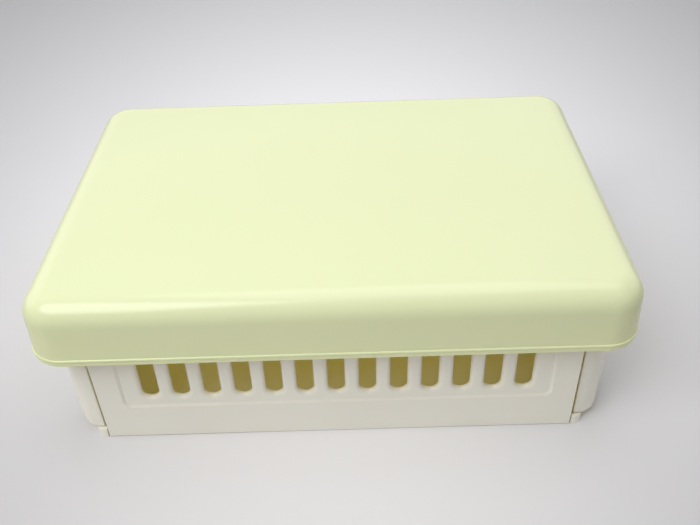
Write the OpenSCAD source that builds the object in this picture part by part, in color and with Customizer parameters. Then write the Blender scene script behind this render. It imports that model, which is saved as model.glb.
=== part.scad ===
// Small folding storage basket with a lift-off lid.
// The four walls are pinned to the base and fold flat onto it once the lid is off:
// first the two long panels, then the two end walls with their rounded corner columns.
// Origin: centre of the base's underside. X is the length, Y the width, Z is up. Millimetres.

/* [Basket] */
// Length over the end walls
body_l = 204; // [203:1:212]
// Width over the long panels
body_w = 138; // [134:1:150]
// Thickness of the end walls
wall_t = 1.6; // [1.4:0.1:1.8]

/* [Long panels] */
// Length of a long panel
panel_l = 180; // [170:1:181]
// Thickness of a long panel
panel_t = 1.6; // [1.4:0.1:1.7]
// Slots in a long panel
panel_slots = 13; // [5:2:13]

/* [End walls] */
// Outer radius of the corner columns
column_r = 10; // [8:0.5:11]
// Height of the columns' lower edge
column_z = 4; // [4:0.1:5]
// Slots in an end wall
end_slots = 7; // [3:2:7]

/* [Slots] */
// Distance between the slots' middles
slot_pitch = 11.67; // [11:0.01:11.8]
// Clear width of a slot
slot_w = 6.9; // [5:0.1:7.2]
// Corner radius of a slot
slot_r = 2.5; // [1:0.1:3]
// Height of the slots' lower ends
slot_z = 21.8; // [21:0.1:26]
// Height of the slotted field's lower edge
field_z = 17.3; // [16.5:0.1:18]
// Plain border beside the slotted field of a long panel
field_border = 10; // [6:0.5:11]

/* [Lid] */
// How far the lid's rim stands out all round the walls
overhang = 7; // [5:0.5:8]
// Height of the lid's lower edge on the closed basket
lid_z = 46; // [40:0.5:50]
// Height of the lid's top face on the closed basket
lid_top = 71.5; // [71.5:0.5:74]
// Thickness of the lid
lid_t = 1.6; // [1.4:0.1:1.8]
// Plan radius of the lid's corners at the rim
lid_corner_r = 13.5; // [12:0.5:16]
// Radius of the lid's upper edge
lid_edge_r = 9; // [6:0.5:10]

/* [Base] */
// Thickness of the floor
floor_t = 1.4; // [1.2:0.1:1.6]
// How far the base stays inside the end walls' outer faces
base_inset = 6.8; // [6.5:0.1:7]

/* [Hidden] */
$fn = 48;

half_l = body_l / 2;
half_w = body_w / 2;
gap = 0.3;                                // clearance between pieces that pass each other
pin_r = 1.2;                              // radius of every hinge pin
hole_r = pin_r + 0.05;                    // radius of every hinge hole

// Lid
lid_l = body_l + 2 * overhang;
lid_w = body_w + 2 * overhang;
bead_h = 2.9;                             // height of the rim band, with a bead along its top
bead_out = 0.5;
lid_draft = 0.5;                          // the skirt narrows by this much up to the rounded edge
lid_cx = lid_l / 2 - lid_corner_r;
lid_cy = lid_w / 2 - lid_corner_r;
skirt_r = lid_corner_r - bead_out;
edge_z = lid_top - lid_edge_r;
edge_x = skirt_r - lid_draft - lid_edge_r;

// Seat of the lid: ribs inside its rounded edge stand on the end walls' tops
seat_drop = 1.85;                         // ribs' underside below the edge's inside, at the wall's face
seat_gap = 0.1;
seat_rib_t = 1.4;
seat_rib_y = 34;
seat_in = max(0, half_l - lid_cx - edge_x);
seat_z = edge_z + sqrt(pow(lid_edge_r - lid_t, 2) - pow(seat_in, 2)) - seat_drop;
end_top = seat_z - seat_gap;

// Long panel and its hinge line, a short way inside it and near the table
panel_end = panel_l / 2;
panel_axis_y = half_w - 3.8;
panel_axis_z = 2.4;
fold_fit = panel_axis_z + panel_axis_y - gap;    // at this height two folded panels meet
panel_top = min(fold_fit, end_top - 0.8);
panel_foot_z = 0.3;
barrel_r = 1.9;
knuckle_r = 1.8;                          // base knuckles between the barrels
knuckle_l = 3;
knuckle_x = [84, 28];                     // outer ends of the knuckles in one half
recess = 0.7;                             // depth of the slotted field below the wall's face
recess_flare = 1;                         // width of the field's sloping edge
field_r = 2;                              // corner radius of the field
slot_flare = 1;                           // width of the soft edge round a slot
slot_soft = 0.5;                          // depth of that soft edge
slot_top = panel_top - 8;
field_top = panel_top - 4;

// End wall: a plate whose ends turn the corner as columns, and its hinge line
flange_y = half_w - panel_t - 0.2;        // columns' outer face, just behind the long panels
flange_x = panel_end + 1.4;               // seam beside the long panels
column_x = half_l - column_r;
column_y = flange_y - column_r;
end_axis_x = half_l - 9.2;
end_axis_z = 8.6;
ear_y0 = 41;                              // ear on the end wall that carries the pin
ear_y1 = 44;
ear_r = 2.3;
lug_y0 = ear_y1 + gap;                    // lug on the base that the pin turns in
lug_y1 = lug_y0 + 3;
foot_round = 1;                           // rounded lower corner of a column's free edge

// Base
base_end = half_l - base_inset;
floor_y = panel_axis_y - barrel_r - gap;
base_corner_r = 4;
block_x = panel_end + 0.4;
block_top = 3.3;
lip_top = 4.3;                            // front lip that covers a column's lower edge
rib_t = 1.4;
rib_top = 3.6;
rail_top = 6;                             // low rail along the base's end
rail_t = 1.6;
stop_gap = 0.1;
panel_stops = [-56, 0, 56];               // middles of the stops behind a long panel's foot
end_stops = [-28, 0, 28];                 // middles of the stops behind an end wall's foot
stop_w = 8;
panel_stop_t = 0.9;                       // these stops pass under the long panels' pins
end_stop_t = 2;

// A pocket with round corners and sloping edges: at z = 0 it is flare wider all round than w x h,
// at z = depth it has that size, and it ends a little deeper, inside the hole or recess it leads to
module soft_pocket(w, h, r, flare, depth, under) {
  over = 0.4;                             // the cutter starts this far outside the face
  slope = flare / depth;
  top = slope * (depth + over);
  bottom = slope * under;
  x = w / 2 - r;
  y = h / 2 - r;
  for (sx = [-1, 1], sy = [-1, 1])
    translate([sx * x, sy * y, -over])
      cylinder(h = depth + over + under, r1 = r + top, r2 = r - bottom);
  translate([0, y, 0]) rotate([90, 0, 0]) linear_extrude(2 * y)
    taper(w / 2 + top, w / 2 - bottom, -over, depth + under);
  translate([-x, 0, 0]) rotate([90, 0, 90]) linear_extrude(2 * x)
    taper(h / 2 + top, h / 2 - bottom, -over, depth + under);
}

// Trapezium: half widths a at height z0 and b at height z1
module taper(a, b, z0, z1) {
  polygon([[-a, z0], [a, z0], [b, z1], [-b, z1]]);
}

module rounded_rect(w, h, r) {
  square([w - 2 * r, h], center = true);
  square([w, h - 2 * r], center = true);
  for (sx = [-1, 1], sy = [-1, 1])
    translate([sx * (w / 2 - r), sy * (h / 2 - r)]) circle(r);
}

// Cutters for a slotted field: the face lies in z = 0, y = 0 is the middle of the field
module slotted_field(field_w, slots) {
  field_h = field_top - field_z;
  slot_h = slot_top - slot_z;
  slot_mid = (field_top + field_z - slot_top - slot_z) / 2;
  soft_pocket(field_w, field_h, field_r, recess_flare, recess, 0);
  for (i = [0:slots - 1])
    translate([(i - (slots - 1) / 2) * slot_pitch, slot_mid, recess]) {
      soft_pocket(slot_w, slot_h, slot_r, slot_flare, slot_soft, 0.2);
      linear_extrude(2 * wall_t) rounded_rect(slot_w, slot_h, slot_r);
    }
}

// Long panel, drawn as the front one
module long_panel() {
  difference() {
    union() {
      translate([-panel_end, -half_w, panel_foot_z])
        cube([panel_l, panel_t, panel_top - panel_foot_z]);
      translate([-panel_end, -panel_axis_y, panel_axis_z])
        rotate([0, 90, 0]) cylinder(h = panel_l, r = barrel_r);
      translate([-panel_end, -half_w + panel_t / 2, panel_axis_z - barrel_r])
        cube([panel_l, half_w - panel_t / 2 - panel_axis_y, 2 * barrel_r]);
    }
    translate([0, -half_w, (field_top + field_z) / 2])
      rotate([-90, 0, 0]) slotted_field(panel_l - 2 * field_border, panel_slots);
    for (s = [-1, 1], x = knuckle_x) barrel_gap(s * x - (s > 0 ? knuckle_l : 0), knuckle_l);
    for (x = panel_stops) barrel_gap(x - stop_w / 2, stop_w);
  }
  translate([-panel_end, -panel_axis_y, panel_axis_z])
    rotate([0, 90, 0]) cylinder(h = panel_l, r = pin_r);
}

// Room in the panel's barrel for a knuckle or a stop of the base
module barrel_gap(x, w) {
  translate([x - gap, -half_w + panel_t, -1]) cube([w + 2 * gap, 3 * barrel_r, 3 * barrel_r]);
}

module front_panel() {
  color("#ece9df") long_panel();
}

module back_panel() {
  color("#ece9df") rotate([0, 0, 180]) long_panel();
}

// Plan of the end wall's outer side, moved inward by t
module end_plan(t) {
  intersection() {
    translate([flange_x - t, -body_w]) square([body_l, 2 * body_w]);
    union() {
      translate([0, t - flange_y]) square([column_x, 2 * (flange_y - t)]);
      translate([0, -column_y]) square([half_l - t, 2 * column_y]);
      for (s = [-1, 1]) translate([column_x, s * column_y]) circle(column_r - t);
    }
  }
}

// End wall, drawn as the right one
module end_wall() {
  difference() {
    translate([0, 0, column_z]) linear_extrude(end_top - column_z) difference() {
      end_plan(0);
      end_plan(wall_t);
    }
    translate([half_l, 0, (field_top + field_z) / 2])
      rotate([-90, 0, 90]) slotted_field(2 * (ear_y0 + 1), end_slots);
    for (s = [-1, 1]) translate([flange_x, s * (flange_y - wall_t / 2), column_z])
      rotate([90, 0, 0]) foot_rounding();
  }
  for (s = [0, 1]) mirror([0, s, 0]) translate([end_axis_x, 0, end_axis_z]) {
    translate([0, ear_y0, 0]) ear();
    translate([0, ear_y1, 0]) rotate([-90, 0, 0]) cylinder(h = lug_y1 - ear_y1, r = pin_r);
  }
}

// Cuts the sharp lower corner off a column's free edge
module foot_rounding() {
  linear_extrude(2 * wall_t, center = true) difference() {
    translate([-1, -1]) square(foot_round + 1);
    translate([foot_round, foot_round]) circle(foot_round);
  }
}

module ear() {
  rotate([-90, 0, 0]) cylinder(h = ear_y1 - ear_y0, r = ear_r);
  translate([0, 0, -ear_r])
    cube([half_l - wall_t / 2 - end_axis_x, ear_y1 - ear_y0, 2 * ear_r]);
}

module left_end_wall() {
  color("#e4e2d6") rotate([0, 0, 180]) end_wall();
}

module right_end_wall() {
  color("#e4e2d6") end_wall();
}

// Base, drawn a quarter at a time and mirrored
module base_quarter() {
  difference() {
    union() {
      cube([base_end, floor_y, floor_t]);
      corner_block();
      translate([0, floor_y - rib_t, 0]) cube([block_x + 1, rib_t, rib_top]);
      translate([base_end - rail_t, 0, 0]) cube([rail_t, ear_y0 - gap, rail_top]);
      translate([base_end - rail_t, lug_y0, 0]) cube([rail_t, floor_y - lug_y0, rail_top]);
      translate([end_axis_x, lug_y0, 0]) lug();
      for (x = knuckle_x) translate([x - knuckle_l, 0, 0]) knuckle();
    }
    translate([-1, panel_axis_y, panel_axis_z]) rotate([0, 90, 0])
      cylinder(h = panel_end + 1, r = hole_r);
    translate([end_axis_x, lug_y0 - 1, end_axis_z]) rotate([-90, 0, 0])
      cylinder(h = lug_y1 - lug_y0 + 2, r = hole_r);
  }
}

// Eye at the floor's edge that a long panel's pin turns in
module knuckle() {
  translate([0, panel_axis_y, panel_axis_z]) rotate([0, 90, 0])
    cylinder(h = knuckle_l, r = knuckle_r);
  translate([0, floor_y - rib_t, 0])
    cube([knuckle_l, panel_axis_y - floor_y + rib_t, panel_axis_z]);
}

// Corner of the base: it shows below the column, flush with the long panel
module corner_block() {
  linear_extrude(block_top) corner_plan();
  linear_extrude(lip_top) intersection() {
    corner_plan();
    translate([block_x, half_w - panel_t]) square([base_end, panel_t]);
  }
}

module corner_plan() {
  inner = floor_y - 1;
  r = base_corner_r;
  translate([block_x, inner]) square([base_end - block_x, half_w - r - inner]);
  translate([block_x, inner]) square([base_end - r - block_x, half_w - inner]);
  translate([base_end - r, half_w - r]) intersection() {
    circle(r);
    square(r);
  }
}

module lug() {
  w = lug_y1 - lug_y0;
  translate([-ear_r, 0, 0]) cube([2 * ear_r, w, end_axis_z]);
  translate([0, 0, end_axis_z]) rotate([-90, 0, 0]) cylinder(h = w, r = ear_r);
}

module base() {
  color("#e6e3d8") {
    for (mx = [0, 1], my = [0, 1]) mirror([mx, 0, 0]) mirror([0, my, 0]) base_quarter();
    for (x = panel_stops, s = [-1, 1]) panel_stop(x, s);
    for (y = end_stops, s = [-1, 1]) end_stop(y, s);
  }
}

// Keeps an upright long panel from falling outward, under its foot's back
module panel_stop(x, side) {
  tip = half_w - panel_t - stop_gap;
  translate([x - stop_w / 2, side > 0 ? floor_y - 1 : -tip, 0])
    cube([stop_w, tip - floor_y + 1, panel_stop_t]);
}

// Keeps an upright end wall from falling outward, behind its foot
module end_stop(y, side) {
  tip = half_l - wall_t - stop_gap;
  translate([side > 0 ? base_end - 1 : -tip, y - stop_w / 2, rail_top - end_stop_t])
    cube([tip - base_end + 1, stop_w, end_stop_t]);
}

// Half section of the lid's outer side, moved inward by t; x is measured from a corner's middle
module lid_section(t) {
  bottom = lid_z - (t > 0 ? 1 : 0);
  translate([0, bottom]) square([edge_x, lid_top - t - bottom]);
  translate([edge_x, edge_z]) circle(lid_edge_r - t);
  polygon([
    [0, bottom],
    [skirt_r - t, bottom],
    [skirt_r - t, lid_z + bead_h],
    [skirt_r - lid_draft - t, edge_z],
    [0, edge_z]
  ]);
}

module bead_section() {
  r = bead_out;
  translate([skirt_r - lid_t / 2, lid_z]) square([lid_t / 2 + bead_out - 0.1, bead_h - r]);
  translate([skirt_r, lid_z + bead_h - r]) circle(r);
}

module shell_section() {
  intersection() {
    translate([0, lid_z]) square([lid_corner_r, lid_top - lid_z]);
    union() {
      difference() {
        lid_section(0);
        lid_section(lid_t);
      }
      bead_section();
    }
  }
}

module lid_shell() {
  for (sx = [-1, 1], sy = [-1, 1])
    translate([sx * lid_cx, sy * lid_cy, 0]) rotate([0, 0, sx > 0 ? (sy > 0 ? 0 : -90) : (sy > 0 ? 90 : 180)])
      rotate_extrude(angle = 90) shell_section();
  for (a = [0, 180]) rotate([0, 0, a]) {
    translate([-lid_cx, lid_cy, 0]) rotate([90, 0, 90]) linear_extrude(2 * lid_cx) shell_section();
    translate([lid_cx, lid_cy, 0]) rotate([90, 0, 0]) linear_extrude(2 * lid_cy) shell_section();
  }
  translate([-lid_cx, -lid_cy, lid_top - lid_t]) cube([2 * lid_cx, 2 * lid_cy, lid_t]);
}

module lid() {
  color("#e2e8be") lid_shell();
}

// Four short ribs that fill the inside of the lid's rounded edge above the end walls' tops
module lid_ribs() {
  color("#e2e8be") for (a = [0, 180], y = [-seat_rib_y, seat_rib_y])
    rotate([0, 0, a]) translate([lid_cx, y + seat_rib_t / 2, 0])
      rotate([90, 0, 0]) linear_extrude(seat_rib_t) intersection() {
        lid_section(lid_t);
        translate([half_l - wall_t - lid_cx, seat_z]) square(lid_edge_r);
      }
}

base();
front_panel();
back_panel();
left_end_wall();
right_end_wall();
lid();
lid_ribs();
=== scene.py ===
import math

import bmesh
import bpy
from mathutils import Matrix, Vector


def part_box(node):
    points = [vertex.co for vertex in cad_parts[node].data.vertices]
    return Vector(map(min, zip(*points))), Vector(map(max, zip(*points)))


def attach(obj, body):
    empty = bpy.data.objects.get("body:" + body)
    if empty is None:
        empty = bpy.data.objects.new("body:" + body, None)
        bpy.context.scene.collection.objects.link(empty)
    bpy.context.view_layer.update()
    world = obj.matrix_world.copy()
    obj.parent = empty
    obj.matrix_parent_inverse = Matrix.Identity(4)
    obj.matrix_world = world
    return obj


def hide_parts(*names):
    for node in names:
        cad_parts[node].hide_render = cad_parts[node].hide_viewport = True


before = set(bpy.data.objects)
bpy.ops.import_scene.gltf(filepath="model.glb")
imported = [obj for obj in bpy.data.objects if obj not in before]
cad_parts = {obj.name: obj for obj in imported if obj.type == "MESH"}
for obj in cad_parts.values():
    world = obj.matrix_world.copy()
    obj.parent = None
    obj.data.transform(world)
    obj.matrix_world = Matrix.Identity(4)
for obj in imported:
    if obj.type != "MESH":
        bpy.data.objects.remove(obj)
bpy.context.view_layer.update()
MM = 0.001

# ---------------------------------------------------------------- camera

IMAGE_WIDTH = 700
FOCAL_PIXELS = 795.7
SENSOR_MM = 36
CAMERA_AT = Vector((9.2, -272.8, 245.1)) * MM
CAMERA_AZIMUTH = 0.68
CAMERA_ELEVATION = 38.39
CAMERA_ROLL = -2.165
CLIP_FROM_M = 0.01
CLIP_TO_M = 20


def camera_axes(azimuth, elevation, roll):
    """Right, up and back of a camera that looks along +Y at azimuth 0, in degrees."""
    a, e, r = (math.radians(x) for x in (azimuth, elevation, roll))
    back = Vector((math.sin(a) * math.cos(e), -math.cos(a) * math.cos(e), math.sin(e)))
    right = Vector((math.cos(a), math.sin(a), 0))
    up = back.cross(right)
    return (
        math.cos(r) * right + math.sin(r) * up,
        math.cos(r) * up - math.sin(r) * right,
        back,
    )


def link(thing):
    bpy.context.scene.collection.objects.link(thing)
    return thing


def make_camera():
    data = bpy.data.cameras.new("camera")
    data.sensor_width = SENSOR_MM
    data.lens = FOCAL_PIXELS * SENSOR_MM / IMAGE_WIDTH
    data.clip_start = CLIP_FROM_M
    data.clip_end = CLIP_TO_M
    camera = link(bpy.data.objects.new("camera", data))
    axes = Matrix(camera_axes(CAMERA_AZIMUTH, CAMERA_ELEVATION, CAMERA_ROLL)).transposed()
    camera.matrix_world = Matrix.Translation(CAMERA_AT) @ axes.to_4x4()
    bpy.context.scene.camera = camera


make_camera()

# ---------------------------------------------------------------- node trees


class Channel:
    """A socket in a node tree. Arithmetic on it adds Math nodes."""

    def __init__(self, tree, socket):
        self.tree = tree
        self.socket = socket

    def _math(self, operation, first, second):
        return self.tree.node("ShaderNodeMath", {"operation": operation}, {0: first, 1: second})

    def __add__(self, other):
        return self._math("ADD", self, other)

    __radd__ = __add__

    def __mul__(self, other):
        return self._math("MULTIPLY", self, other)

    __rmul__ = __mul__

    def __sub__(self, other):
        return self._math("SUBTRACT", self, other)

    def __rsub__(self, other):
        return self._math("SUBTRACT", other, self)

    def __truediv__(self, other):
        return self._math("DIVIDE", self, other)

    def __rtruediv__(self, other):
        return self._math("DIVIDE", other, self)

    def __pow__(self, other):
        return self._math("POWER", self, other)

    def at_least(self, other):
        return self._math("MAXIMUM", self, other)

    def above(self, other):
        return self._math("GREATER_THAN", self, other)

    def below(self, other):
        return self._math("LESS_THAN", self, other)

    def part(self, index):
        """One number of a vector: 0, 1 or 2."""
        return self.tree.node("ShaderNodeSeparateXYZ", {}, {0: self}, output=index)


class Tree:
    """Builds one node tree, of a material, the world or a geometry group."""

    def __init__(self, node_tree):
        self.nodes = node_tree.nodes
        self.links = node_tree.links
        self.nodes.clear()

    def node(self, kind, settings=None, inputs=None, output=0):
        """Adds a node and gives its output, or the node itself where it has none. A list on an
        input links each of its values."""
        made = self.nodes.new(kind)
        for name, value in (settings or {}).items():
            setattr(made, name, value)
        for key, value in (inputs or {}).items():
            for one in value if isinstance(value, list) else [value]:
                if isinstance(one, Channel):
                    self.links.new(one.socket, made.inputs[key])
                else:
                    made.inputs[key].default_value = one
        return Channel(self, made.outputs[output]) if made.outputs else made

    def vector(self, x, y, z):
        return self.node("ShaderNodeCombineXYZ", {}, {0: x, 1: y, 2: z})

    def mix_colours(self, factor, first, second):
        return self.node(
            "ShaderNodeMix", {"data_type": "RGBA"}, {0: factor, 6: first, 7: second}, output=2
        )

    def noise(self, place, size_mm, detail=2.0, stretch=(1, 1, 1)):
        """Cloudy noise from 0 to 1 whose patches are about size_mm wide."""
        mapped = self.node("ShaderNodeMapping", {}, {"Vector": place, "Scale": stretch})
        return self.node(
            "ShaderNodeTexNoise",
            {},
            {"Vector": mapped, "Scale": 1 / (size_mm * MM), "Detail": detail},
        )


def srgb(red, green, blue):
    """Linear colour, with alpha, of a display colour given as 0 to 255."""
    channels = (value / 255 for value in (red, green, blue))
    linear = (c / 12.92 if c <= 0.04045 else ((c + 0.055) / 1.055) ** 2.4 for c in channels)
    return (*linear, 1)


# ---------------------------------------------------------------- materials

WHITE_PLASTIC = srgb(240, 237, 225)
WHITE_SHADE = srgb(235, 232, 218)
LID_PLASTIC = srgb(239, 247, 203)
LID_SHADE = srgb(235, 244, 198)
LID_THROUGH = srgb(255, 241, 64)
SPECK = srgb(120, 116, 84)
OUTER_SHARE_THROUGH = 0.15
INNER_SHARE_THROUGH = 0.95
PLASTIC_IOR = 1.49
GLOSS_DRIFT = 0.06
WAVE_DETAIL = 1.0
SPECK_SPACING_MM = 23
SPECK_RADIUS_MM = 0.28
SPECK_RARITY = 0.93
SPECK_COVER = 0.7
SCRATCH_MM = 9
SCRATCH_DETAIL = 3.0
LONG_SCRATCH_STRETCH = (0.12, 2.6, 1.0)
CROSS_SCRATCH_STRETCH = (2.6, 0.12, 1.0)
LONG_SCRATCH_ABOVE = 0.7
CROSS_SCRATCH_ABOVE = 0.72


def object_place(tree):
    return tree.node("ShaderNodeTexCoord", output=3)


def specks(tree, place):
    """1 on a few tiny round specks and 0 elsewhere."""
    cell = {"Vector": place, "Scale": 1 / (SPECK_SPACING_MM * MM)}
    distance = tree.node("ShaderNodeTexVoronoi", {}, cell)
    chance = tree.node("ShaderNodeTexVoronoi", {}, cell, output=1).part(0)
    return distance.below(SPECK_RADIUS_MM / SPECK_SPACING_MM) * chance.above(SPECK_RARITY)


def moulded_plastic(tree, colours, gloss, wave, grain, scuff):
    """A Principled shader with slow colour drift, a faint wave and grain, and hairline scuffs."""
    place = object_place(tree)
    drift = tree.noise(place, colours["patch_mm"])
    colour = tree.mix_colours(drift, colours["main"], colours["shade"])
    marks = specks(tree, place)
    colour = tree.mix_colours(marks * SPECK_COVER, colour, SPECK)
    long_scratch = tree.noise(place, SCRATCH_MM, SCRATCH_DETAIL, LONG_SCRATCH_STRETCH)
    cross_scratch = tree.noise(place, SCRATCH_MM, SCRATCH_DETAIL, CROSS_SCRATCH_STRETCH)
    hairlines = long_scratch.above(LONG_SCRATCH_ABOVE) + cross_scratch.above(CROSS_SCRATCH_ABOVE)
    height = tree.noise(place, wave["size_mm"], WAVE_DETAIL) * (wave["depth_mm"] * MM)
    height = height + tree.noise(place, grain["size_mm"]) * (grain["depth_mm"] * MM)
    bump = tree.node("ShaderNodeBump", {}, {"Height": height, "Strength": 1.0, "Distance": 1.0})
    return tree.node(
        "ShaderNodeBsdfPrincipled",
        {},
        {
            "Base Color": colour,
            "Roughness": gloss + GLOSS_DRIFT * (drift - 0.5) + scuff * hairlines,
            "IOR": PLASTIC_IOR,
            "Normal": bump,
        },
    )


def plastic_material(name, colours, gloss, wave, grain, scuff, share_through=0.0):
    material = bpy.data.materials.new(name)
    material.use_nodes = True
    tree = Tree(material.node_tree)
    surface = moulded_plastic(tree, colours, gloss, wave, grain, scuff)
    if share_through:
        through = tree.node("ShaderNodeBsdfTranslucent", {}, {"Color": LID_THROUGH})
        surface = tree.node("ShaderNodeMixShader", {}, {0: share_through, 1: surface, 2: through})
    tree.node("ShaderNodeOutputMaterial", {}, {"Surface": surface})
    return material


def white_plastic():
    return plastic_material(
        "off_white_moulding",
        {"main": WHITE_PLASTIC, "shade": WHITE_SHADE, "patch_mm": 38},
        gloss=0.22,
        wave={"size_mm": 26, "depth_mm": 0.03},
        grain={"size_mm": 0.9, "depth_mm": 0.004},
        scuff=0.03,
    )


def lid_plastic(name, share_through):
    return plastic_material(
        name,
        {"main": LID_PLASTIC, "shade": LID_SHADE, "patch_mm": 60},
        gloss=0.2,
        wave={"size_mm": 42, "depth_mm": 0.05},
        grain={"size_mm": 1.1, "depth_mm": 0.0012},
        scuff=0.015,
        share_through=share_through,
    )


WHITE = white_plastic()
LID_OUTSIDE = lid_plastic("pale_green_lid_outside", OUTER_SHARE_THROUGH)
LID_INSIDE = lid_plastic("pale_green_lid_inside", INNER_SHARE_THROUGH)

# ---------------------------------------------------------------- finishing a piece

SMOOTH_ANGLE = math.radians(30)
MERGE_M = 1e-5
BEVEL_SEGMENTS = 2


def finished(piece):
    """Turns the piece's modifiers into its mesh and removes them."""
    graph = bpy.context.evaluated_depsgraph_get()
    made = bpy.data.meshes.new_from_object(piece.evaluated_get(graph))
    piece.modifiers.clear()
    piece.data = made
    made.name = piece.name
    return piece


def shaded(piece, material=None):
    """Smooth shading with flat faces kept flat and sharp edges sharp, and one material all over
    where it is given."""
    mesh = piece.data
    if material:
        mesh.materials.clear()
        mesh.materials.append(material)
        mesh.polygons.foreach_set("material_index", [0] * len(mesh.polygons))
    mesh.polygons.foreach_set("use_smooth", [True] * len(mesh.polygons))
    mesh.set_sharp_from_angle(angle=SMOOTH_ANGLE)
    even = piece.modifiers.new("even_normals", "WEIGHTED_NORMAL")
    even.keep_sharp = True
    return finished(piece)


def round_edges(piece, width_mm, over_degrees):
    """Rounds the edges whose two faces turn by more than over_degrees."""
    bevel = piece.modifiers.new("edges", "BEVEL")
    bevel.width = width_mm * MM
    bevel.segments = BEVEL_SEGMENTS
    bevel.limit_method = "ANGLE"
    bevel.angle_limit = math.radians(over_degrees)
    bevel.use_clamp_overlap = True
    bevel.harden_normals = True


def turned_from(mesh, shape):
    """Writes a bmesh into a mesh with its doubles merged and its faces turned outward."""
    bmesh.ops.remove_doubles(shape, verts=shape.verts, dist=MERGE_M)
    bmesh.ops.recalc_face_normals(shape, faces=shape.faces)
    shape.to_mesh(mesh)
    shape.free()
    return mesh


def joined_with(piece, body, node):
    """The frame calls that every piece needs."""
    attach(piece, body)
    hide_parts(node)


# ---------------------------------------------------------------- geometry groups


def geometry_group(name, inputs):
    """A new group with one geometry in and out, and the named inputs after it."""
    group = bpy.data.node_groups.new(name, "GeometryNodeTree")
    group.interface.new_socket("Geometry", in_out="INPUT", socket_type="NodeSocketGeometry")
    for label, kind in inputs:
        group.interface.new_socket(label, in_out="INPUT", socket_type="NodeSocket" + kind)
    group.interface.new_socket("Geometry", in_out="OUTPUT", socket_type="NodeSocketGeometry")
    tree = Tree(group)
    start = tree.nodes.new("NodeGroupInput")
    sockets = {socket.name: Channel(tree, socket) for socket in start.outputs if socket.name}
    return group, tree, sockets


def grow(piece, group, values):
    """Puts the group on the piece and sets its inputs by their identifiers."""
    modifier = piece.modifiers.new("form", "NODES")
    modifier.node_group = group
    for item in group.interface.items_tree:
        if item.item_type == "SOCKET" and item.in_out == "INPUT" and item.name in values:
            modifier[item.identifier] = values[item.name]


def slot_row_group():
    """Fills a plate's open field with a row of equal slot cells."""
    group, tree, given = geometry_group(
        "slot_row",
        [
            ("Cell", "Object"),
            ("Slots", "Int"),
            ("Pitch", "Float"),
            ("Middle height", "Float"),
            ("Finish", "Material"),
        ],
    )
    first = (given["Slots"] - 1) * given["Pitch"] * -0.5
    row = tree.node(
        "GeometryNodeMeshLine",
        {"mode": "OFFSET"},
        {
            "Count": given["Slots"],
            "Start Location": tree.vector(first, 0.0, given["Middle height"]),
            "Offset": tree.vector(given["Pitch"], 0.0, 0.0),
        },
    )
    cell = tree.node("GeometryNodeObjectInfo", {}, {"Object": given["Cell"]}, output=4)
    placed = tree.node("GeometryNodeInstanceOnPoints", {}, {"Points": row, "Instance": cell})
    cells = tree.node("GeometryNodeRealizeInstances", {}, {0: placed})
    whole = tree.node("GeometryNodeJoinGeometry", {}, {0: [given["Geometry"], cells]})
    sealed = tree.node("GeometryNodeMergeByDistance", {}, {"Geometry": whole, "Distance": MERGE_M})
    done = tree.node(
        "GeometryNodeSetMaterial", {}, {"Geometry": sealed, "Material": given["Finish"]}
    )
    tree.node("NodeGroupOutput", {}, {0: done})
    return group


ONE_FACE_AT_MOST = 1.5


def swept_lid_group():
    """Sweeps a section round the rim's outline and closes the top inside and out."""
    group, tree, given = geometry_group(
        "swept_lid",
        [
            ("Length", "Float"),
            ("Width", "Float"),
            ("Corner radius", "Float"),
            ("Corner steps", "Int"),
            ("Rim height", "Float"),
            ("Top height", "Float"),
            ("Ceiling height", "Float"),
            ("Outside", "Material"),
            ("Inside", "Material"),
        ],
    )
    section = tree.node("GeometryNodeMeshToCurve", {}, {"Mesh": given["Geometry"]})
    outline = tree.node(
        "GeometryNodeCurvePrimitiveQuadrilateral",
        {"mode": "RECTANGLE"},
        {"Width": given["Length"], "Height": given["Width"]},
    )
    path = tree.node(
        "GeometryNodeFilletCurve",
        {"mode": "POLY"},
        {"Curve": outline, "Count": given["Corner steps"], "Radius": given["Corner radius"]},
    )
    skirt = tree.node("GeometryNodeCurveToMesh", {}, {"Curve": path, "Profile Curve": section})
    height = tree.node("GeometryNodeInputPosition").part(2)
    open_edge = tree.node("GeometryNodeInputMeshEdgeNeighbors").below(ONE_FACE_AT_MOST)
    between = (given["Top height"] + given["Ceiling height"]) * 0.5
    sheets = []
    for level, side in (
        (given["Top height"], height.above(between)),
        (given["Ceiling height"], height.below(between)),
    ):
        loop = tree.node(
            "GeometryNodeMeshToCurve", {}, {"Mesh": skirt, "Selection": open_edge * side}
        )
        sheet = tree.node("GeometryNodeFillCurve", {"mode": "NGONS"}, {"Curve": loop})
        raised = tree.node(
            "GeometryNodeTransform",
            {},
            {"Geometry": sheet, "Translation": tree.vector(0.0, 0.0, level)},
        )
        sheets.append(raised)
    sheets[1] = tree.node("GeometryNodeFlipFaces", {}, {"Mesh": sheets[1]})
    whole = tree.node("GeometryNodeJoinGeometry", {}, {0: [skirt, *sheets]})
    sealed = tree.node("GeometryNodeMergeByDistance", {}, {"Geometry": whole, "Distance": MERGE_M})
    solid = tree.node("GeometryNodeRealizeInstances", {}, {0: sealed})
    green = tree.node(
        "GeometryNodeSetMaterial", {}, {"Geometry": solid, "Material": given["Outside"]}
    )
    from_rim = tree.node(
        "ShaderNodeVectorMath",
        {"operation": "SUBTRACT"},
        {
            0: tree.node("GeometryNodeInputPosition"),
            1: tree.vector(0.0, 0.0, given["Rim height"]),
        },
    )
    outward = tree.node(
        "ShaderNodeVectorMath",
        {"operation": "DOT_PRODUCT"},
        {0: from_rim, 1: tree.node("GeometryNodeInputNormal")},
        output=1,
    )
    done = tree.node(
        "GeometryNodeSetMaterial",
        {},
        {"Geometry": green, "Selection": outward.below(0.0), "Material": given["Inside"]},
    )
    tree.node("NodeGroupOutput", {}, {0: done})
    return group


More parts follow.
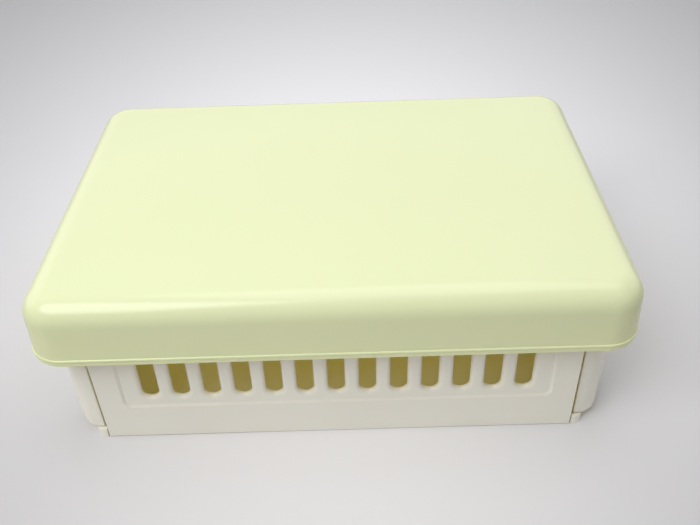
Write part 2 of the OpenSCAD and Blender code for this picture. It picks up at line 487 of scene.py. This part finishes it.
# ---------------------------------------------------------------- slotted walls
# A wall is drawn with its outer face in y = 0 and its thickness along +Y, then turned to its side.

WALL_T = 1.6
SLOT_PITCH = 11.67
SLOT_WIDTH = 6.3
SLOT_R = 2.9
SLOT_LOW = 20.9
SLOT_BELOW_TOP = 8.0
SLOT_ROLL = 1.7
CELL_MARGIN = 0.4
FIELD_LOW = 17.3
FIELD_BELOW_TOP = 4.0
FIELD_R = 2.0
FIELD_DEPTH = 0.7
FIELD_SLOPE = 1.0
ARC_STEPS = 6
ROLL_STEPS = 6
TIP_STEPS = 7
CORNERS = ((1, 1), (-1, 1), (-1, -1), (1, -1))
SAME_MM = 1e-5
SAME_PLACES = 6
EDGE_ROUND = 0.3
EDGE_OVER_DEGREES = 33

front_low, front_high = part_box("front_panel")
end_low, end_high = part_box("right_end_wall")
HALF_WIDTH = -front_low.y / MM
HALF_LENGTH = end_high.x / MM
PANEL_HALF = front_high.x / MM
PANEL_TOP = front_high.z / MM
SLOT_HIGH = PANEL_TOP - SLOT_BELOW_TOP
FIELD_HIGH = PANEL_TOP - FIELD_BELOW_TOP
SLOT_MIDDLE = (SLOT_LOW + SLOT_HIGH) / 2
SLOT_HALF_HEIGHT = (SLOT_HIGH - SLOT_LOW) / 2
CELL_HALF_HEIGHT = SLOT_HALF_HEIGHT + SLOT_ROLL + CELL_MARGIN


def round_ring(half_w, half_h, radius):
    """Points (x, z) of a rectangle with round corners, anticlockwise, ARC_STEPS + 1 to a corner."""
    points = []
    for corner, (side_x, side_z) in enumerate(CORNERS):
        for step in range(ARC_STEPS + 1):
            angle = math.radians(90) * (corner + step / ARC_STEPS)
            points.append(
                (
                    side_x * (half_w - radius) + radius * math.cos(angle),
                    side_z * (half_h - radius) + radius * math.sin(angle),
                )
            )
    return points


def square_ring(half_w, half_h, inner_w, inner_h):
    """The rectangle round that ring, with a point on its edge for each point of the ring."""
    half_steps = ARC_STEPS / 2
    points = []
    for corner, (side_x, side_z) in enumerate(CORNERS):
        for step in range(ARC_STEPS + 1):
            first_leg = min(step / half_steps, 1)
            second_leg = max(step / half_steps - 1, 0)
            if corner % 2 == 0:
                along, back = first_leg, second_leg
            else:
                along, back = 1 - second_leg, 1 - first_leg
            points.append(
                (
                    side_x * (half_w + (inner_w - half_w) * back),
                    side_z * (inner_h + (half_h - inner_h) * along),
                )
            )
    return points


def loft(shape, rings):
    """Bridges closed rings of equal length, given as lists of (x, y, z) in millimetres."""
    rows = [[shape.verts.new(Vector(point) * MM) for point in ring] for ring in rings]
    for outer, inner in zip(rows, rows[1:]):
        for k in range(len(outer)):
            following = (k + 1) % len(outer)
            shape.faces.new((outer[k], outer[following], inner[following], inner[k]))
    return rows


def at_depth(ring, depth, middle=0.0):
    return [(x, depth, z + middle) for x, z in ring]


def cell_border():
    """The outline (x, z) of one cell, with a point for each point of the slot's ring."""
    return square_ring(
        SLOT_PITCH / 2, CELL_HALF_HEIGHT, SLOT_WIDTH / 2 - SLOT_R, SLOT_HALF_HEIGHT - SLOT_R
    )


def lip_profile():
    """The slot's rolled lip as (how much wider than the slot, depth): in over its front, round
    its tip and out again over its back."""
    lip_t = WALL_T - FIELD_DEPTH
    back_roll = SLOT_ROLL - lip_t
    tip_depth = FIELD_DEPTH + SLOT_ROLL
    quarter = [math.radians(90) * k / ROLL_STEPS for k in range(ROLL_STEPS + 1)]
    half = [math.radians(180) * k / TIP_STEPS for k in range(1, TIP_STEPS)]
    front = [(SLOT_ROLL * (1 - math.sin(a)), tip_depth - SLOT_ROLL * math.cos(a)) for a in quarter]
    tip = [(lip_t / 2 * (1 - math.cos(a)), tip_depth + lip_t / 2 * math.sin(a)) for a in half]
    back = [
        (SLOT_ROLL - back_roll * math.sin(a), tip_depth - back_roll * math.cos(a))
        for a in quarter[::-2]
    ]
    return front + tip + back


def slot_cell():
    """One slot with its lip and the field round it, open to the cells beside it."""
    shape = bmesh.new()
    border = cell_border()
    rings = [at_depth(border, FIELD_DEPTH)]
    for wider, depth in lip_profile():
        ring = round_ring(SLOT_WIDTH / 2 + wider, SLOT_HALF_HEIGHT + wider, SLOT_R + wider)
        rings.append(at_depth(ring, depth))
    rings.append(at_depth(border, WALL_T))
    loft(shape, rings)
    mesh = bpy.data.meshes.new("slot_cell")
    shape.to_mesh(mesh)
    shape.free()
    return link(bpy.data.objects.new("slot_cell", mesh))


def row_border(slots):
    """Outline (x, z) of a row of cells, with the cells' own points along it, anticlockwise."""
    cell = cell_border()
    offsets = [(k - (slots - 1) / 2) * SLOT_PITCH for k in range(slots)]
    row_half = slots * SLOT_PITCH / 2
    points = set()
    for offset in offsets:
        for x, z in cell:
            on_level_side = abs(abs(z) - CELL_HALF_HEIGHT) < SAME_MM
            on_end = abs(abs(x + offset) - row_half) < SAME_MM
            if on_level_side or on_end:
                points.add((round(x + offset, SAME_PLACES), round(z, SAME_PLACES)))
    top = sorted((p for p in points if abs(p[1] - CELL_HALF_HEIGHT) < SAME_MM), reverse=True)
    bottom = sorted(p for p in points if abs(p[1] + CELL_HALF_HEIGHT) < SAME_MM)
    ends = points - set(top) - set(bottom)
    right = sorted((p for p in ends if p[0] > 0), key=lambda p: p[1])
    left = sorted((p for p in ends if p[0] < 0), key=lambda p: -p[1])
    return top + left + bottom + right


def flat_between(shape, outline, hole, depth):
    """A flat face at one depth between two closed outlines of (x, z)."""
    edges = []
    for loop in (outline, hole):
        corners = [shape.verts.new(Vector((x, depth, z)) * MM) for x, z in loop]
        for first, second in zip(corners, corners[1:] + corners[:1]):
            edges.append(shape.edges.new((first, second)))
    bmesh.ops.triangle_fill(shape, edges=edges, use_beauty=True)


def rectangle(half_w, low, high):
    return [(half_w, low), (half_w, high), (-half_w, high), (-half_w, low)]


def ribbon(shape, first_line, second_line):
    """Faces between two open lines of (x, y, z) in millimetres, with equally many points."""
    first = [shape.verts.new(Vector(point) * MM) for point in first_line]
    second = [shape.verts.new(Vector(point) * MM) for point in second_line]
    for k in range(len(first) - 1):
        shape.faces.new((first[k], first[k + 1], second[k + 1], second[k]))


def strip(shape, plan, low, high):
    """Upright faces along a plan of (x, y) points."""
    ribbon(shape, [(x, y, low) for x, y in plan], [(x, y, high) for x, y in plan])


def level_strip(shape, outer, inner, height):
    """Level faces between two plans of (x, y) points."""
    ribbon(shape, [(x, y, height) for x, y in outer], [(x, y, height) for x, y in inner])


def plate_with_field(shape, half_w, low, high, field_half, slots):
    """The wall's flat part: front, back, foot and top, with the row of cells left open."""
    border = [(x, z + SLOT_MIDDLE) for x, z in row_border(slots)]
    middle = (FIELD_LOW + FIELD_HIGH) / 2
    half_h = (FIELD_HIGH - FIELD_LOW) / 2
    floor_ring = round_ring(field_half, half_h, FIELD_R)
    face_ring = round_ring(field_half + FIELD_SLOPE, half_h + FIELD_SLOPE, FIELD_R + FIELD_SLOPE)
    loft(shape, [at_depth(face_ring, 0, middle), at_depth(floor_ring, FIELD_DEPTH, middle)])
    flat_between(shape, rectangle(half_w, low, high), [(x, z + middle) for x, z in face_ring], 0)
    flat_between(shape, [(x, z + middle) for x, z in floor_ring], border, FIELD_DEPTH)
    flat_between(shape, rectangle(half_w, low, high), border, WALL_T)
    face = [(-half_w, 0), (half_w, 0)]
    back = [(-half_w, WALL_T), (half_w, WALL_T)]
    for height in (low, high):
        level_strip(shape, face, back, height)


def arc(centre, radius, start, end, steps):
    """Points of an arc in a section, angles in degrees from its first axis to its second."""
    angles = [math.radians(start + (end - start) * k / steps) for k in range(steps + 1)]
    return [(centre[0] + radius * math.cos(a), centre[1] + radius * math.sin(a)) for a in angles]


def closed_bar(shape, section, start, end):
    """A bar along X from start to end, closed at both ends, of a section (y, z)."""
    rows = loft(shape, [[(x, y, z) for y, z in section] for x in (start, end)])
    shape.faces.new(rows[0])
    shape.faces.new(rows[1][::-1])


def barrel(shape, start, end, axis, radius):
    """A hinge barrel round an axis (y, z) with a web back into the wall."""
    section = arc(axis, radius, -90, 90, BARREL_STEPS)
    section += [(WALL_T / 2, axis[1] + radius), (WALL_T / 2, axis[1] - radius)]
    closed_bar(shape, section, start, end)


def pin(shape, start, end, axis):
    """A hinge pin round an axis (y, z)."""
    closed_bar(shape, arc(axis, PIN_R, 0, 360, PIN_STEPS)[:-1], start, end)


def slotted_wall(name, draw, slots, turn, distance):
    """A wall on the side that turn points to, its outer face distance mm from the middle."""
    shape = bmesh.new()
    draw(shape)
    mesh = bpy.data.meshes.new(name)
    piece = link(bpy.data.objects.new(name, turned_from(mesh, shape)))
    values = {
        "Cell": CELL,
        "Slots": slots,
        "Pitch": SLOT_PITCH * MM,
        "Middle height": SLOT_MIDDLE * MM,
        "Finish": WHITE,
    }
    grow(piece, SLOT_ROW, values)
    mesh = finished(piece).data
    shape = bmesh.new()
    shape.from_mesh(mesh)
    turned_from(mesh, shape)
    outward = Matrix.Translation((0, -distance * MM, 0))
    mesh.transform(Matrix.Rotation(math.radians(turn), 4, "Z") @ outward)
    round_edges(piece, EDGE_ROUND, EDGE_OVER_DEGREES)
    return shaded(finished(piece))


PANEL_SLOTS = 13
FIELD_BORDER = 10
PANEL_AXIS = (3.8, 2.4)
BARREL_R = 1.9
BARREL_STEPS = 12
PIN_R = 1.2
PIN_STEPS = 20
PIN_INSET = 0.2
KNUCKLES = (84, 28)
KNUCKLE_L = 3
STOPS = (-56, 0, 56)
STOP_W = 8
SIDE_PLAY = 0.3


def barrel_spans():
    """Where the foot's barrel runs, between the base's knuckles and stops."""
    gaps = [(x - STOP_W / 2, x + STOP_W / 2) for x in STOPS]
    gaps += [(x - KNUCKLE_L, x) for x in KNUCKLES] + [(-x, KNUCKLE_L - x) for x in KNUCKLES]
    starts = [-PANEL_HALF] + [high + SIDE_PLAY for low, high in sorted(gaps)]
    ends = [low - SIDE_PLAY for low, high in sorted(gaps)] + [PANEL_HALF]
    return zip(starts, ends)


def draw_long_panel(shape):
    low = front_low.z / MM
    plate_with_field(shape, PANEL_HALF, low, PANEL_TOP, PANEL_HALF - FIELD_BORDER, PANEL_SLOTS)
    for x in (-PANEL_HALF, PANEL_HALF):
        strip(shape, [(x, 0), (x, WALL_T)], low, PANEL_TOP)
    for start, end in barrel_spans():
        barrel(shape, start, end, PANEL_AXIS, BARREL_R)
    pin(shape, -PANEL_HALF + PIN_INSET, PANEL_HALF - PIN_INSET, PANEL_AXIS)


END_SLOTS = 7
END_FIELD_HALF = 42
COLUMN_R = 10
COLUMN_STEPS = 10
COLUMN_TO_PANEL = 1.4
COLUMN_DEPTH = HALF_LENGTH - PANEL_HALF - COLUMN_TO_PANEL
END_FLAT_HALF = end_high.y / MM - COLUMN_R
END_AXIS = (9.2, 8.6)
EAR = (41, 44)
EAR_R = 2.3
END_PIN = (43, 47.3)


def column_plan(side, inset):
    """Plan (x, y) of a corner column, from the flat part round to its free edge."""
    radius = COLUMN_R - inset
    plan = []
    for step in range(COLUMN_STEPS + 1):
        angle = math.radians(90) * step / COLUMN_STEPS
        across = END_FLAT_HALF + radius * math.sin(angle)
        plan.append((across, COLUMN_R - radius * math.cos(angle)))
    plan.append((END_FLAT_HALF + radius, COLUMN_DEPTH))
    return [(side * x, y) for x, y in plan]


def draw_end_wall(shape):
    low, high = end_low.z / MM, end_high.z / MM
    plate_with_field(shape, END_FLAT_HALF, low, high, END_FIELD_HALF, END_SLOTS)
    for side in (-1, 1):
        outer, inner = column_plan(side, 0), column_plan(side, WALL_T)
        strip(shape, outer, low, high)
        strip(shape, inner, low, high)
        strip(shape, [outer[-1], inner[-1]], low, high)
        for height in (low, high):
            level_strip(shape, outer, inner, height)
        near, far = sorted(side * x for x in EAR)
        barrel(shape, near, far, END_AXIS, EAR_R)
        near, far = sorted(side * x for x in END_PIN)
        pin(shape, near, far, END_AXIS)


CELL = slot_cell()
SLOT_ROW = slot_row_group()
WALLS = (
    ("front_wall", "front_panel", draw_long_panel, PANEL_SLOTS, 0, HALF_WIDTH, "panel_plastic"),
    ("back_wall", "back_panel", draw_long_panel, PANEL_SLOTS, 180, HALF_WIDTH, "panel_plastic"),
    ("right_wall", "right_end_wall", draw_end_wall, END_SLOTS, 90, HALF_LENGTH, "end_wall_plastic"),
    ("left_wall", "left_end_wall", draw_end_wall, END_SLOTS, -90, HALF_LENGTH, "end_wall_plastic"),
)

for wall_name, cad_node, draw, slots, turn, distance, record_slot in WALLS:
    wall = slotted_wall(wall_name, draw, slots, turn, distance)
    joined_with(wall, cad_node, cad_node)
bpy.data.objects.remove(CELL)

# ---------------------------------------------------------------- base

FLAT_ANGLE = math.radians(0.4)
WELD_M = 1e-6
SOFTEN_OVER_DEGREES = 35
BASE_ROUND = 0.25
RIB_ROUND = 0.15


def softened(node, name, material, width_mm):
    """A copy of a node's solids with its flat triangles merged and its sharp edges rounded."""
    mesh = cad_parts[node].data.copy()
    shape = bmesh.new()
    shape.from_mesh(mesh)
    bmesh.ops.remove_doubles(shape, verts=shape.verts, dist=WELD_M)
    bmesh.ops.dissolve_limit(shape, angle_limit=FLAT_ANGLE, verts=shape.verts, edges=shape.edges)
    shape.to_mesh(mesh)
    shape.free()
    piece = link(bpy.data.objects.new(name, mesh))
    round_edges(piece, width_mm, SOFTEN_OVER_DEGREES)
    return shaded(finished(piece), material)


base = softened("base", "base_tray", WHITE, BASE_ROUND)
joined_with(base, "base", "base")

# ---------------------------------------------------------------- lid

LID_T = 1.6
LID_CORNER_R = 13.5
LID_CORNER_STEPS = 16
LID_EDGE_R = 9.0
LID_EDGE_STEPS = 12
BEAD_R = 0.55
BEAD_MIDDLE = 2.4
BEAD_FROM = 84
BEAD_TO = -48
BEAD_STEPS = 6
BEAD_FOOT = 0.25
BAND_IN = 0.3
SKIRT_IN = 0.5
LID_DRAFT = 0.5
RIM_ROUND = 0.3
RIM_STEPS = 3
FLAT_START = 12.0

lid_low, lid_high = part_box("lid")


def lid_section():
    """Open section (out, up) from the top's middle side, over the rim, to the ceiling's.
    out is counted from the rim's outermost line and up from the rim's lower edge."""
    top = (lid_high.z - lid_low.z) / MM
    edge_middle = (-SKIRT_IN - LID_DRAFT - LID_EDGE_R, top - LID_EDGE_R)
    points = [(-FLAT_START, top)]
    points += arc(edge_middle, LID_EDGE_R, 90, 0, LID_EDGE_STEPS)
    points += arc((-BEAD_R, BEAD_MIDDLE), BEAD_R, BEAD_FROM, BEAD_TO, BEAD_STEPS)
    points += [(-BAND_IN, BEAD_MIDDLE - BEAD_R - BEAD_FOOT)]
    points += arc((-BAND_IN - RIM_ROUND, RIM_ROUND), RIM_ROUND, 0, -90, RIM_STEPS)
    inner_round = (-SKIRT_IN - LID_T + RIM_ROUND, RIM_ROUND)
    points += arc(inner_round, RIM_ROUND, -90, -180, RIM_STEPS)
    points += arc(edge_middle, LID_EDGE_R - LID_T, 0, 90, LID_EDGE_STEPS)
    points += [(-FLAT_START, top - LID_T)]
    return points


def make_lid():
    """The lid: its section swept round the rim, which turns the section's second axis down."""
    points = [(out, -lid_low.z / MM - up) for out, up in lid_section()]
    mesh = bpy.data.meshes.new("lid_section")
    places = [Vector((x, y, 0)) * MM for x, y in points]
    mesh.from_pydata(places, [(k, k + 1) for k in range(len(points) - 1)], [])
    piece = link(bpy.data.objects.new("lid_shell", mesh))
    values = {
        "Length": lid_high.x - lid_low.x,
        "Width": lid_high.y - lid_low.y,
        "Corner radius": LID_CORNER_R * MM,
        "Corner steps": LID_CORNER_STEPS,
        "Rim height": lid_low.z,
        "Top height": lid_high.z,
        "Ceiling height": lid_high.z - LID_T * MM,
        "Outside": LID_OUTSIDE,
        "Inside": LID_INSIDE,
    }
    grow(piece, swept_lid_group(), values)
    return shaded(finished(piece))


lid = make_lid()
joined_with(lid, "lid", "lid")

seat_ribs = softened("lid_ribs", "lid_seat_ribs", LID_INSIDE, RIB_ROUND)
joined_with(seat_ribs, "lid", "lid_ribs")

# ---------------------------------------------------------------- floor, lamps and world

FLOOR_HALF = 3
FLOOR_PAPER = srgb(250, 249, 253)
# The darker colour below is painted shade on the floor, standing in for light falling off towards
# the edges.
FLOOR_PAINTED_SHADE = srgb(158, 156, 156)
FLOOR_ROUGHNESS = 0.7
FLOOR_MIDDLE_X = 0.009
FLOOR_FALL = 3.4
# Of a point on the floor, in metres: its depth from the camera is DEPTH_CONSTANT + DEPTH_PER_Y * y
# and its height in the view, over the palest point, HEIGHT_PER_Y * y - HEIGHT_CONSTANT.
DEPTH_PER_Y = 0.784
DEPTH_CONSTANT = 0.366
LEAST_DEPTH = 0.25
HEIGHT_PER_Y = 0.621
HEIGHT_CONSTANT = 0.036


def make_floor():
    """A pale sheet with painted shade, its colour darkening away from a point under the object's
    back half by the distance that the camera sees, in place of light falling off."""
    mesh = bpy.data.meshes.new("floor")
    corners = [(x, y, 0) for x, y in rectangle(FLOOR_HALF, -FLOOR_HALF, FLOOR_HALF)]
    mesh.from_pydata(corners, [], [(0, 1, 2, 3)])
    floor = link(bpy.data.objects.new("floor", mesh))
    material = bpy.data.materials.new("floor_paper")
    material.use_nodes = True
    tree = Tree(material.node_tree)
    place = object_place(tree)
    depth = (DEPTH_CONSTANT + DEPTH_PER_Y * place.part(1)).at_least(LEAST_DEPTH)
    across = (place.part(0) - FLOOR_MIDDLE_X) / depth
    along = (HEIGHT_PER_Y * place.part(1) - HEIGHT_CONSTANT) / depth
    # Painted shade: the weight of the pale colour falls from 1 in the middle towards the painted
    # dark edges.
    painted_brightness = 1 / (1 + across * across + along * along) ** FLOOR_FALL
    colour = tree.mix_colours(painted_brightness, FLOOR_PAINTED_SHADE, FLOOR_PAPER)
    surface = tree.node(
        "ShaderNodeBsdfPrincipled", {}, {"Base Color": colour, "Roughness": FLOOR_ROUGHNESS}
    )
    tree.node("ShaderNodeOutputMaterial", {}, {"Surface": surface})
    mesh.materials.append(material)


def area_lamp(name, place_mm, target_mm, size_mm, watts, colour):
    data = bpy.data.lights.new(name, "AREA")
    data.shape = "RECTANGLE"
    data.size = size_mm[0] * MM
    data.size_y = size_mm[1] * MM
    data.energy = watts
    data.color = colour
    lamp = link(bpy.data.objects.new(name, data))
    place = Vector(place_mm) * MM
    aim = (Vector(target_mm) * MM - place).to_track_quat("-Z", "Y")
    lamp.matrix_world = Matrix.Translation(place) @ aim.to_matrix().to_4x4()
    lamp.visible_camera = False


ROOM_COLOUR = srgb(250, 250, 251)
BACKDROP_COLOUR = srgb(214, 213, 212)
ROOM_GLOW = 0.38
SIDE_FALL = 0.1
BACK_WALL_EXTRA = 0.75
WALL_EDGE_HEIGHT = 0.527


def make_world():
    """A room that is brighter to the left, and on its back wall up to about 32 degrees. The
    camera sees a plain backdrop in its place."""
    world = bpy.data.worlds.new("studio")
    bpy.context.scene.world = world
    world.use_nodes = True
    tree = Tree(world.node_tree)
    direction = tree.node("ShaderNodeTexCoord", output=0)
    back_wall = direction.part(2).below(WALL_EDGE_HEIGHT) * direction.part(1).above(0)
    strength = ROOM_GLOW * (1 - SIDE_FALL * direction.part(0)) + BACK_WALL_EXTRA * back_wall
    glow = tree.node("ShaderNodeBackground", {}, {"Color": ROOM_COLOUR, "Strength": strength})
    backdrop = tree.node("ShaderNodeBackground", {}, {"Color": BACKDROP_COLOUR, "Strength": 1.0})
    seen = tree.node("ShaderNodeLightPath")
    mixed = tree.node("ShaderNodeMixShader", {}, {0: seen, 1: glow, 2: backdrop})
    tree.node("ShaderNodeOutputWorld", {}, {"Surface": mixed})


make_floor()
area_lamp(
    "overhead",
    place_mm=(50, 20, 560),
    target_mm=(0, 0, 60),
    size_mm=(480, 400),
    watts=1.05,
    colour=(1, 1, 1),
)
area_lamp(
    "left_window",
    place_mm=(-370, -400, 700),
    target_mm=(0, -30, 40),
    size_mm=(520, 460),
    watts=3.7,
    colour=(1, 1, 0.99),
)
make_world()
bpy.context.scene.view_settings.view_transform = "Standard"
